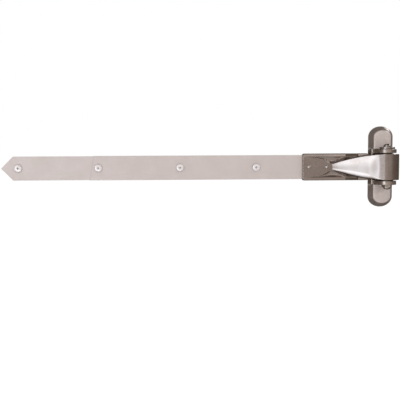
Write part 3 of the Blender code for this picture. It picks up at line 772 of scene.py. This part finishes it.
# Hinge pin: a turned steel pin with a round head, dropped through both ears and the barrel. A thick
# washer lies under its head, and a domed cap nut closes its lower end.
pin_head = 12.7 * mm
pin_head_height = 5.2 * mm
pin_head_rim = 1.0 * mm
pin_end = 5.2 * mm
washer_diameter = 24.0 * mm
washer_thickness = 3.0 * mm
edge_break = 0.6 * mm
nut_flats = 14.3 * mm
nut_hex_height = 4.0 * mm
nut_dome_radius = 6.4 * mm
nut_dome_height = 3.8 * mm
nut_crown_wall = 2.2 * mm
nut_turn = math.radians(22)
nut_cone_rise = math.radians(30)


def standing(bm, height=0.0):
    """Puts a turned shape on the pin's axis."""
    return moved(bm, (pin_place.x, pin_place.y, height))


def headed_pin(washer_top):
    radius = pin_diameter / 2
    head_bottom = washer_top + gap
    end = -ear_outer - gap - pin_end
    profile = domed(pin_head / 2, head_bottom + pin_head_rim, pin_head_height - pin_head_rim, 18, 2.3)
    profile += arc((pin_head / 2 - head_edge, head_bottom + head_edge), head_edge, 0, -math.pi / 2, 4)
    profile += [(radius, head_bottom), (radius, end + edge_break), (radius - edge_break, end), (0.0, end)]
    return piece_of(standing(turned(profile, 96)), "hinge_pin_piece")


def thick_washer(bottom):
    inner, outer, top = pin_diameter / 2 + gap, washer_diameter / 2, bottom + washer_thickness
    profile = [(inner, top)] + arc((outer - edge_break, top - edge_break), edge_break, math.pi / 2, 0, 6)
    profile += arc((outer - edge_break, bottom + edge_break), edge_break, 0, -math.pi / 2, 6)
    profile += [(inner, bottom)]
    return piece_of(standing(turned(profile, 96, ring=True)), "pin_washer_piece")


def cap_nut():
    top = -ear_outer - gap
    corners = nut_flats / math.cos(math.pi / 6)
    hexagon = bmesh.new()
    bmesh.ops.create_cone(
        hexagon, cap_ends=True, segments=6, radius1=corners / 2, radius2=corners / 2, depth=nut_hex_height
    )
    moved(hexagon, (0, 0, 0), nut_turn, "Z")
    nut = piece_of(standing(hexagon, top - nut_hex_height / 2), "pin_nut_piece")
    low = top - nut_hex_height
    wide, narrow = corners / 2 + gap, nut_flats / 2 - gap
    rise = (wide - narrow) * math.tan(nut_cone_rise)
    cone = [(0.0, top + past), (wide, top + past), (wide, low + rise), (narrow, low), (0.0, low)]
    worked(nut, [piece_of(standing(turned(cone, 96)), "nut_cone")], "INTERSECT")
    inside = top - nut_hex_height / 2
    crown = domed(nut_dome_radius, 0.0, nut_dome_height, 16)
    profile = [(0.0, inside), (nut_dome_radius, inside)]
    profile += [(radius, low - height) for radius, height in reversed(crown)]
    worked(nut, [piece_of(standing(turned(profile, 96)), "nut_crown")], "UNION")
    roof = low - nut_dome_height + nut_crown_wall
    axis = (pin_place.x, pin_place.y, 0)
    worked(nut, [drill(pin_diameter + 2 * gap, axis, (roof, top + past), "Z", 96)])
    even_shading(nut)
    return nut


washer_bottom = ear_outer + gap
pin_parts = (
    (headed_pin(washer_bottom + washer_thickness), "hinge_pin"),
    (thick_washer(washer_bottom), "pin_washer"),
    (cap_nut(), "pin_nut"),
)


def turned_finish(name, axis, centre, tones, roughness):
    """Turned and polished metal: rings about its axis, painted shade where it seats and painted highlights
    on its rims.
    """
    material, tree = metal(name)
    tone = blend(tree, cloud(tree, 3 * mm, 0, 1, place=centre), *tones)
    # Painted shade in the hollows and seats, painted highlights on the rims.
    coats = (
        (painted_corner_shade(tree, 2 * mm), [part * 0.35 for part in tones[0]]),
        (near_edges(tree, 0.35 * mm), [min(1.0, part * 1.35) for part in tones[1]]),
    )
    rings, grain = turning_marks(tree, axis, centre, 0.35 * mm), cloud(tree, 0.4 * mm, 0, 1)
    bumps = ((0.005 * mm, rings), (0.004 * mm, grain))
    return finished(material, tone, coats, cloud(tree, 1.5 * mm, *roughness, place=centre), bumps)


pin_tones = ((0.46, 0.40, 0.37), (0.56, 0.50, 0.47))
nut_tones = ((0.62, 0.56, 0.52), (0.74, 0.68, 0.64))
pin_paint = turned_finish("pin_steel", "Z", pin_place, pin_tones, (0.20, 0.30))
nut_paint = turned_finish("nut_plate", "Z", pin_place, nut_tones, (0.18, 0.28))
for piece, node in pin_parts:
    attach(piece, "post_side")
    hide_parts(node)
    piece.data.materials.append(nut_paint if node == "pin_nut" else pin_paint)

# Bushings: two flanged bronze bushings pressed into the barrel's ends. The pin turns in them, and
# their flanges keep the barrel clear of the ears.
bushing_wall = 1.6 * mm
bushing_length = 12.0 * mm
bushing_flange = 20.0 * mm
bushing_flange_thickness = 1.0 * mm
bushing_outer = pin_diameter + 2 * gap + 2 * bushing_wall
barrel_half = 20.75 * mm
bronze_tones = ((0.27, 0.18, 0.11), (0.36, 0.25, 0.15))
bronze_paint = turned_finish("bushing_bronze", "Z", pin_place, bronze_tones, (0.32, 0.46))

for name, side in (("upper_bushing", 1), ("lower_bushing", -1)):
    inner, outer, flange = pin_diameter / 2 + gap, bushing_outer / 2, bushing_flange / 2
    seat = barrel_half + gap
    top, bottom, chamfer = seat + bushing_flange_thickness, seat - bushing_length, 0.3 * mm
    profile = [
        (inner, top - chamfer), (inner + chamfer, top), (flange - chamfer, top), (flange, top - chamfer),
        (flange, seat), (outer, seat), (outer, bottom + chamfer), (outer - chamfer, bottom), (inner, bottom),
    ]
    bm = turned([(radius, side * height) for radius, height in profile], 72, ring=True)
    bushing = piece_of(standing(bm), name + "_piece")
    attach(bushing, "gate_side")
    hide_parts(name)
    bushing.data.materials.append(bronze_paint)

# Strap casting: one polished, nickel-plated zinc-alloy casting. A plate with two scooped flutes runs
# into a ridge, which flares and climbs to the barrel; it is hollow behind and takes the bar's end.
casting_length = 131.5 * mm
casting_half = 22.2 * mm
plate_thickness = 8.3 * mm
plate_corner = 3.3 * mm
plate_round = 2.2 * mm
end_sharpness = 1.8
plate_end = bracket_width / 2 + 3.0 * mm
ledge_inner = casting_half - 5.0 * mm
ledge_fall = math.tan(math.radians(7.0))
crease = 0.3 * mm
barrel_radius = 18.7 * mm
barrel_edge = 1.0 * mm
waist_place = casting_length - 48.0 * mm
waist_half = 4.5 * mm
ridge_draft = math.tan(math.radians(20.0))
ridge_edge = 1.1 * mm
lower_roll_across = 8.5 * mm
lower_roll_down = 3.2 * mm
roll_run = 28.0 * mm
ridge_fillet = 2.5 * mm
ridge_dish = 1.8 * mm
dish_start = 15.5 * mm
dish_fade = 15.0 * mm
arm_back = block_depth + 4.0 * mm
arm_hook = 5.0 * mm
arm_hook_start = 20.0 * mm
arm_hook_run = 10.0 * mm
pocket_wall = 4.5 * mm
pocket_corner = 1.5 * mm
bore_clearance = 1.2 * mm
notch_length = 21.6 * mm
notch_depth = 3.0 * mm
notch_land = 0.4 * mm
rivet_places = (121.0 * mm, 91.5 * mm)
rivet_shank = 3.4 * mm
rivet_tail = 5.6 * mm
bar_thickness = 4.8 * mm
bar_width = 39.7 * mm
bar_end = rivet_places[1] - 16.0 * mm
pad_end = 17.5 * mm
pad_slope = math.radians(29.4)
pad_stand = 0.01 * mm
pad_root = barrel_radius * math.sin(pad_slope)
pad_top = (barrel_radius + pad_stand) * math.cos(pad_slope) - pin_place.y
crest_start = pad_top - (pad_end - pad_root) * math.tan(pad_slope)
crest_sag = 1.3 * mm
shading_angle = 55.0

# The flute beside the ridge, in mm: distance in from the casting's end, inner edge, depth
flute_stations = [
    (3.0, 16.9, 0.0), (5.5, 16.6, 0.2), (21.5, 15.5, 0.7), (33.0, 12.8, 1.3), (40.5, 9.0, 1.9),
    (46.5, 5.8, 2.2), (53.5, 6.6, 2.2), (61.5, 9.0, 1.8), (69.5, 11.8, 1.2), (77.5, 14.2, 0.6),
    (83.5, 16.0, 0.2), (90.0, 16.9, 0.0),
]


def eased(share):
    share = min(1.0, max(0.0, share))
    return share * share * (3 - 2 * share)


def higher(a, b, reach):
    """The higher of two levels, with a small hollow where they cross."""
    near = max(0.0, 1 - abs(a - b) / reach)
    return max(a, b) + reach * near * near / 4


def flute_at(inset):
    """The flute's inner edge and depth, on a smooth curve through the stations."""
    stations = flute_stations
    if inset <= stations[0][0] or inset >= stations[-1][0]:
        return stations[0][1] * mm, 0.0
    i = max(k for k in range(len(stations) - 1) if stations[k][0] <= inset)
    before, here = stations[max(0, i - 1)], stations[i]
    after, beyond = stations[i + 1], stations[min(len(stations) - 1, i + 2)]
    span = after[0] - here[0]
    t = (inset - here[0]) / span
    values = []
    for column in (1, 2):
        rise_here = (after[column] - before[column]) / (after[0] - before[0]) * span
        rise_after = (beyond[column] - here[column]) / (beyond[0] - here[0]) * span
        value = (2 * t**3 - 3 * t**2 + 1) * here[column] + (t**3 - 2 * t**2 + t) * rise_here
        value += (3 * t**2 - 2 * t**3) * after[column] + (t**3 - t**2) * rise_after
        values.append(max(0.0, value) * mm)
    return values


def plate_level(distance, up):
    """How far the plate's front stands before the back plane, with its flutes and round edges."""
    up = abs(up)
    inner, depth = flute_at((casting_length - distance) / mm)
    level = plate_thickness
    if depth > 0:
        half = (ledge_inner - inner) / 2
        off = (up - ledge_inner + half) / half
        level -= higher(depth * (1 - off * off), 0.0, min(crease, depth))
    level -= max(0.0, up - ledge_inner) * ledge_fall
    along, across = distance - casting_length + plate_corner, up - casting_half + plate_corner
    outside = math.hypot(max(along, 0), max(across, 0)) + min(max(along, across), 0)
    if along > across:
        outside = plate_corner - (plate_corner - outside) * end_sharpness
    inside = min(plate_round, max(0.0, plate_corner - outside))
    rounded = math.sqrt(max(0.0, plate_round**2 - (plate_round - inside) ** 2))
    return min(level, plate_thickness - plate_round + rounded)


def ridge_half(distance):
    """Half the crest's width: a parabola from the waist to the barrel's full height."""
    share = min(1.0, distance / waist_place)
    return barrel_half - (barrel_half - waist_half) * share**2


def crest_level(distance):
    """The crest climbs with a slight sag to a flat pad, which runs into the barrel's round."""
    if distance < pad_end:
        return pad_top - (distance - pad_root) * math.tan(pad_slope)
    run = (distance - pad_end) / (waist_place - pad_end)
    sag = crest_sag * (run - run**5) if run < 1 else 0.0
    return crest_start + (plate_thickness - crest_start) * run - sag


def dish_at(distance):
    return ridge_dish * ridge_half(distance) / barrel_half * eased((distance - dish_start) / dish_fade)


def lower_roll(distance):
    """How far the crest's lower edge rolls in and down: a hard edge at the barrel, soft at the waist."""
    half, grown = ridge_half(distance), eased((distance - pad_root) / roll_run)
    across = ridge_edge + (min(lower_roll_across, 0.6 * half) - ridge_edge) * grown
    return across, ridge_edge + (min(lower_roll_down, 0.3 * half) - ridge_edge) * grown


def evenly(start, end, count):
    """Even steps from the start up to the end, which is left out."""
    return [start + (end - start) * i / count for i in range(count)]


def half_section(distance, on_arm, roll):
    """Points of half a section, from the crest's middle over its edge and round to the back."""
    half, crest, dish = ridge_half(distance), crest_level(distance), dish_at(distance)
    across, down = roll
    flat = half - across
    points = [
        (flat * share, crest - dish * (1 - (flat * share / half) ** 2))
        for share in (0, 0.12, 0.24, 0.36, 0.48, 0.6, 0.72, 0.83, 0.93, 1)
    ]
    rim = points[-1][1]
    points += [(flat + across * y, rim - down + down * z) for y, z in arc((0, 0), 1, math.pi / 2, 0, 9)[1:]]
    top = rim - down
    rest_rows = 36
    if on_arm:
        back = arm_back + arm_hook * max(0.0, (arm_hook_start - distance) / arm_hook_run) ** 2
        return points + [(half, level) for level in evenly(top, back, rest_rows)[1:] + [back]]
    points = [(up, higher(level, plate_level(distance, up), 0.4 * mm)) for up, level in points]

    foot = half
    for _ in range(6):
        foot = half + max(0.0, top - plate_level(distance, foot)) * ridge_draft
    foot = max(half + 0.3 * mm, min(foot, ledge_inner - 0.8 * mm))
    foot_level = plate_level(distance, foot)
    drop = max(0.0, top - foot_level)
    fillet = min(ridge_fillet, drop / 2 + 0.3 * mm)
    toe = max(foot + 0.5 * mm, min(foot + fillet, ledge_inner - 0.4 * mm))
    lift = min(0.8, fillet / drop) if drop > 0 else 0.8
    turn_in = (foot - (foot - half) * lift, foot_level + drop * lift)
    for share in (0.25, 0.5, 0.75):
        up = half + (turn_in[0] - half) * share
        level = top + (turn_in[1] - top) * share
        points.append((up, higher(level, plate_level(distance, up), 0.2 * mm)))
    toe_level = plate_level(distance, toe)
    for share in (0.0, 0.2, 0.4, 0.6, 0.8, 1.0):
        a, b, c = (1 - share) ** 2, 2 * share * (1 - share), share**2
        up = a * turn_in[0] + b * foot + c * toe
        level = a * turn_in[1] + b * foot_level + c * toe_level
        points.append((up, max(level, plate_level(distance, up))))
    outer = casting_half
    corner = distance - casting_length + plate_corner
    if corner > 0:
        outer -= plate_corner - math.sqrt(max(0.0, plate_corner**2 - corner**2))
    crease_row = max(ledge_inner - 0.3 * mm, toe + 0.1 * mm)
    ledge_row = crease_row + 0.6 * mm
    round_row = max(outer - plate_round, ledge_row + 0.1 * mm)
    inner = flute_at((casting_length - distance) / mm)[0]
    room = crease_row - toe
    inner = min(max(inner, toe + 0.3 * room), toe + 0.7 * room)
    near, beyond = inner - min(0.5 * mm, 0.2 * room), inner + min(0.5 * mm, 0.2 * room)
    ups = evenly(toe, near, 4)[1:] + evenly(near, beyond, 4) + evenly(beyond, crease_row, 7)
    ups += evenly(crease_row, ledge_row, 3) + [ledge_row, round_row]
    ups += [round_row + (outer - round_row) * math.sin(math.pi / 2 * (i + 1) / 6) for i in range(6)]
    points += [(up, plate_level(distance, up)) for up in ups]
    side = points[-1][1]
    return points + [(outer, side / 2), (outer, 0.0)]


def lofted(sections):
    """Draws a ring of points from section to section: (place, upper half, lower half)."""
    bm = bmesh.new()
    row = bm.verts.layers.int.new("row")
    rings = []
    for distance, upper, lower in sections:
        rings.append([(-distance, -level, -up) for up, level in reversed(lower[1:])])
        rings[-1] += [(-distance, -level, up) for up, level in upper]
    verts = [bm.verts.new(place) for place in rings[0]]
    for i, vert in enumerate(verts):
        vert[row] = i
    edges = [bm.edges.new((verts[i - 1], verts[i])) for i in range(len(verts))]
    for ring in rings[1:]:
        drawn = bmesh.ops.extrude_edge_only(bm, edges=edges)["geom"]
        for item in drawn:
            if isinstance(item, bmesh.types.BMVert):
                item.co = ring[item[row]]
        edges = [item for item in drawn if isinstance(item, bmesh.types.BMEdge) and item.is_boundary]
    return closed(bm)


def strap_casting():
    round_start = casting_length - plate_round
    places = [round_start + plate_round * math.sin(math.pi / 2 * i / 8) for i in range(8, -1, -1)]
    places += evenly(round_start, waist_place + 8.0 * mm, 26)[1:]
    places += evenly(waist_place + 8.0 * mm, waist_place - 12.0 * mm, 34)
    places += evenly(waist_place - 12.0 * mm, plate_end, 36)

    def section(place, on_arm):
        rolls = ((ridge_edge, ridge_edge), lower_roll(place))
        return (place, *(half_section(place, on_arm, roll) for roll in rolls))

    sections = [section(place, False) for place in places + [plate_end]]
    for place in evenly(plate_end - 0.05 * mm, pad_root, 12) + [pad_root]:
        sections.append(section(place, True))
    casting = piece_of(lofted(sections), "strap_casting_piece")

    barrel = arc((barrel_radius - barrel_edge, barrel_half - barrel_edge), barrel_edge, math.pi / 2, 0, 7)
    barrel = [(0.0, barrel_half)] + barrel + [(r, -z) for r, z in reversed(barrel)] + [(0.0, -barrel_half)]
    worked(casting, [piece_of(standing(turned(barrel, 160)), "barrel")], "UNION", shading_angle)

    pocket_near, pocket_far = plate_end + pocket_wall, bar_end - gap - pocket_wall
    pocket = []
    for place in evenly(pocket_near, pocket_far, 12) + [pocket_far]:
        half, crest = ridge_half(place) - pocket_wall, crest_level(place) - pocket_wall
        inside = [(0, crest), (half - pocket_corner, crest), (half - 0.4 * mm, crest - 0.4 * mm)]
        inside += [(half, crest - pocket_corner), (half, -past)]
        pocket.append((place, inside, inside))
    tools = [piece_of(lofted(pocket), "pocket")]

    channel = bar_width / 2 + gap
    low = (-casting_length - past, -bar_thickness - gap, -channel)
    tools.append(block("channel", low, (-bar_end + gap, past, channel)))
    middle = (plate_end + bar_end) / 2
    for side in (1, -1):
        ups = sorted((side * (ledge_inner + notch_land), side * (casting_half + past)))
        low = (-middle - notch_length / 2, -2 * plate_thickness, ups[0])
        high = (-middle + notch_length / 2, -plate_thickness + notch_depth, ups[1])
        tools.append(block("notch", low, high))
    core, wide = pin_diameter / 2 + bore_clearance, bushing_outer / 2 + gap
    reach, seat = barrel_half + past, barrel_half - bushing_length - gap
    bore = [(0.0, reach), (wide, reach), (wide, seat), (core, seat)]
    bore += [(radius, -height) for radius, height in reversed(bore)]
    tools.append(piece_of(standing(turned(bore, 72)), "bore"))
    for place in rivet_places:
        tools.append(drill(rivet_shank + 2 * gap, (-place, 0, 0), (-2 * plate_thickness, past), steps=36))
    worked(casting, tools, smooth_angle=shading_angle)
    even_shading(casting)
    return casting


def casting_finish():
    """Nickel over a casting: ridge and barrel buffed bright, the plate left satin; painted highlights on the
    edges, painted shade on the plate's rounded edges and in the hollows, and faces set back to the notch
    floors darker and rougher.
    """
    material, tree = metal("cast_nickel")
    tone = blend(tree, cloud(tree, 16 * mm, 0, 1), (0.42, 0.355, 0.325), (0.48, 0.415, 0.39))
    where = parts_of(tree, "Object")
    on_plate = even_run(tree, where[0], -waist_place + 6 * mm, -waist_place - 8 * mm)
    notch_floor = -plate_thickness + notch_depth
    # Faces set back as far as the notch floors are coloured darker and made rougher.
    set_back_faces = even_run(tree, where[1], notch_floor - 0.6 * mm, notch_floor - 0.3 * mm)
    # The edge mask gives a half-strength painted highlight on every edge, and on the plate painted shade on
    # its rounded edges; the corner mask gives painted shade in the hollows.
    edges = near_edges(tree, 1.0 * mm)
    coats = (
        (painted_corner_shade(tree, 1.5 * mm), (0.15, 0.115, 0.09)),
        (math_step(tree, "MULTIPLY", edges, 0.5), (0.66, 0.60, 0.57)),
        (math_step(tree, "MULTIPLY", edges, on_plate), (0.19, 0.15, 0.125)),
        (set_back_faces, (0.22, 0.18, 0.155)),
    )
    dull = math_step(tree, "MULTIPLY", on_plate, 0.11)
    dull = math_step(tree, "MAXIMUM", dull, math_step(tree, "MULTIPLY", set_back_faces, 0.25))
    rough = math_step(tree, "ADD", dull, cloud(tree, 4 * mm, 0.12, 0.20))
    bumps = (
        (0.012 * mm, cloud(tree, 7 * mm, 0, 1, 1)),
        (0.004 * mm, cloud(tree, 1.6 * mm, 0, 1, 2, stretch=(24, 1, 1))),
        (0.0012 * mm, cloud(tree, 0.4 * mm, 0, 1)),
    )
    return finished(material, tone, coats, rough, bumps)


casting = strap_casting()
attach(casting, "gate_side")
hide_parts("strap_casting")
casting.data.materials.append(casting_finish())

# Rivets: two steel rivets with low domed heads that hold the bar in the casting's channel. Their
# tails are spread by hammering and lie flush with the bar's back.
rivet_head = 5.2 * mm
rivet_head_height = 1.7 * mm

for number, distance in enumerate(rivet_places, 1):
    front = plate_thickness + gap
    shank, tail = rivet_shank / 2, rivet_tail / 2
    profile = domed(rivet_head / 2, front, rivet_head_height, 14)
    profile += [(shank, front), (shank, tail - shank + gap), (tail, gap), (0.0, gap)]
    rivet = piece_of(facing_front(turned(profile, 48), (-distance, 0, 0)), f"casting_rivet_{number}_piece")
    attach(rivet, "gate_side")
    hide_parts(f"casting_rivet_{number}")
    rivet_tones = ((0.74, 0.68, 0.65), (0.84, 0.79, 0.77))
    centre = Vector((-distance, 0, 0))
    paint = turned_finish(f"casting_rivet_{number}_steel", "Y", centre, rivet_tones, (0.25, 0.36))
    rivet.data.materials.append(paint)

# Bar: one flat strip of mild steel, sheared to a spear point and drawn in a hair along its last
# stretch, with eased edges and a matt plated face. Rivets and four screws hold it.
bar_tip_half = 19.4 * mm
bar_tip = bar_end + 546.1 * mm
point_length = 18.3 * mm
point_flat = 0.8 * mm
bar_edge = 0.5 * mm
upper_step = 148.6 * mm
lower_step = 141.6 * mm
bar_screw_first = casting_length + 76.5 * mm
bar_screw_last = bar_tip - 26.6 * mm
bar_screw_places = (
    bar_screw_first, bar_screw_first + 125.0 * mm, bar_screw_last - 129.0 * mm, bar_screw_last,
)


def flat_bar():
    half, run = bar_width / 2, bar_width / 2 - bar_tip_half
    shoulder = bar_tip - point_length
    outline = [
        (-bar_end, half), (-bar_tip + upper_step, half),
        (-bar_tip + upper_step - run, bar_tip_half), (-shoulder, bar_tip_half),
        (-bar_tip, point_flat), (-bar_tip, -point_flat),
        (-shoulder, -bar_tip_half), (-bar_tip + lower_step - run, -bar_tip_half),
        (-bar_tip + lower_step, -half), (-bar_end, -half),
    ]
    bm = bmesh.new()
    pushed(bm, [(x, 0.0, z) for x, z in outline], (0, -bar_thickness, 0))
    rims = [edge for edge in bm.edges if abs(edge.verts[0].co.y - edge.verts[1].co.y) < gap]
    softened(bm, rims, bar_edge, 4)
    bar = piece_of(bm, "strap_bar_piece")
    holes = []
    for places, size in ((bar_screw_places, screw_shank), (rivet_places, rivet_tail)):
        for place in places:
            holes.append(drill(size + 2 * gap, (-place, 0, 0), (-bar_thickness - past, past)))
    worked(bar, holes)
    even_shading(bar)
    return bar


def bar_finish():
    """Matt plated mill steel: pink-grey with olive clouds, drawn lines along it, painted shade on its edges
    and round the screw heads.
    """
    material, tree = metal("bar_steel", 0.35)
    tone = blend(tree, cloud(tree, 26 * mm, 0, 1, 4), (0.695, 0.60, 0.58), (0.76, 0.672, 0.657))
    drawn = cloud(tree, 0.5 * mm, 0, 1, 2, stretch=(60, 1, 1))
    where = parts_of(tree, "Object")
    slant = math_step(tree, "MULTIPLY", where[2], (lower_step - upper_step) / bar_width)
    place = math_step(tree, "ADD", where[0], slant)
    place = math_step(tree, "ADD", place, bar_tip - (upper_step + lower_step) / 2)
    step_line = even_run(tree, math_step(tree, "ABSOLUTE", place), 1.3 * mm, 0.3 * mm, 0.0, 0.3)
    # The corner mask paints shade round the screw heads; the edge mask paints shade along the eased edges.
    coats = (
        (cloud(tree, 9 * mm, 0, 0.5, 5), (0.67, 0.61, 0.552)),
        (math_step(tree, "MULTIPLY", drawn, 0.3), (0.77, 0.68, 0.67)),
        (step_line, (0.50, 0.43, 0.41)),
        (painted_corner_shade(tree, 3 * mm), (0.26, 0.21, 0.19)),
        (near_edges(tree, 0.4 * mm), (0.48, 0.42, 0.39)),
    )
    bumps = ((0.006 * mm, drawn), (0.008 * mm, cloud(tree, 0.5 * mm, 0, 1)))
    return finished(material, tone, coats, cloud(tree, 3 * mm, 0.46, 0.60), bumps)


bar = flat_bar()
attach(bar, "gate_side")
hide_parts("strap_bar")
bar.data.materials.append(bar_finish())

# Bar screws: four bright zinc-plated wood screws with pan heads and cross recesses. They hold the
# bar on the gate's rail.
bar_screw_head = 12.2 * mm
bar_screw_head_height = 3.4 * mm
bar_screw_head_rim = 1.5 * mm
bar_screw_length = 32.0 * mm

for number, distance in enumerate(bar_screw_places, 1):
    seat = Vector((-distance, -bar_thickness - gap, 0))
    screw_sizes = (bar_screw_head, bar_screw_head_height, bar_screw_head_rim, bar_screw_length)
    screw = wood_screw(f"strap_screw_{number}_piece", seat, *screw_sizes)
    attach(screw, "gate_side")
    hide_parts(f"strap_screw_{number}")
    screw.data.materials.append(screw_finish(f"strap_screw_{number}", seat))
